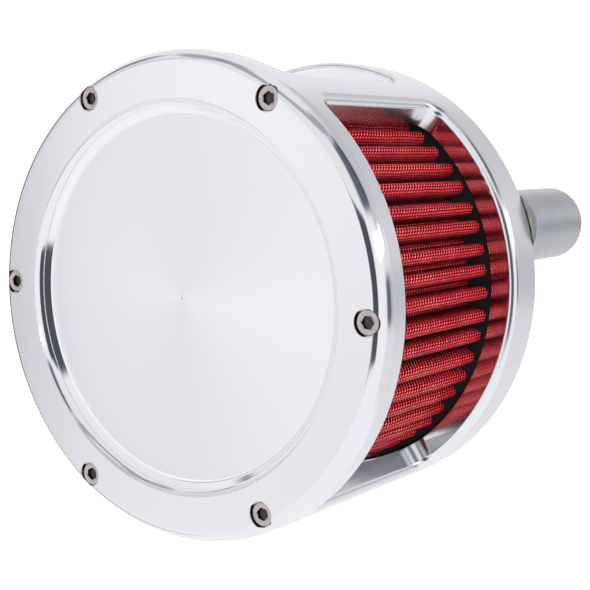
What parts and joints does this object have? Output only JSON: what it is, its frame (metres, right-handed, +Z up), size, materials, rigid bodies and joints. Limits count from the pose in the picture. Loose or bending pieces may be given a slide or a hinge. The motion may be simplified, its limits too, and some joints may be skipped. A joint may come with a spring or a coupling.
{
  "type": "motorcycle air filter",
  "caption": "Round billet air filter with a windowed cage, a dished polished cover, a pleated red element, a backing plate and rear standoffs.",
  "frame": {"origin": "centre of the intake bore in the rear face of the backing plate", "axes": "+Y along the filter's axis towards the engine, the cover faces -Y, +Z is up as mounted"},
  "size_m": [0.165, 0.1436, 0.165],
  "materials": {
    "polished_aluminium": "polished",
    "satin_aluminium": "satin turned, polished inside the windows",
    "machined_aluminium": "machined",
    "turned_aluminium": "fine turned",
    "bead_blasted_aluminium": "fine bead blasted",
    "clip_aluminium": "bare sheet",
    "stainless_screw": "bright stainless",
    "plated_screw": "zinc plated",
    "black_steel": "black oxide",
    "red_mesh": "oiled, red coated woven wire",
    "red_gauze": "oiled cotton gauze",
    "black_urethane": "moulded, matt",
    "seal_rubber": "moulded, satin",
    "yellow_zinc": "yellow zinc plate"
  },
  "bodies": {
    "housing": {"window_cage": "satin_aluminium", "cage_screws": "black_steel", "backing_plate": "machined_aluminium", "plate_seal": "seal_rubber", "velocity_stack": "turned_aluminium", "throttle_body_screws": "plated_screw", "throttle_body_seal": "seal_rubber", "standoff_left": "bead_blasted_aluminium", "standoff_right": "bead_blasted_aluminium", "breather_bolts": "plated_screw", "seal_cups": "yellow_zinc", "standoff_seals": "seal_rubber"},
    "cover": {"front_cover": "polished_aluminium"},
    "screws": {"cover_screws": "stainless_screw"},
    "element": {"filter_outer_mesh": "red_mesh", "filter_gauze": "red_gauze", "filter_inner_mesh": "red_mesh", "filter_front_cap": "black_urethane", "filter_rear_cap": "black_urethane", "media_seam_clip": "clip_aluminium"}
  },
  "joints": [
    {"name": "cover_slide", "type": "slide", "parent": "housing", "child": "cover", "axis": [0, -1, 0], "range_m": [0, 0.15]},
    {"name": "screw_slide", "type": "slide", "parent": "cover", "child": "screws", "axis": [0, -1, 0], "range_m": [0, 0.016]},
    {"name": "element_slide", "type": "slide", "parent": "housing", "child": "element", "axis": [0, -1, 0], "range_m": [0, 0.1]}
  ],
  "couplings": [
    {"joint": "element_slide", "follows": "cover_slide", "ratio": 0.65}
  ]
}
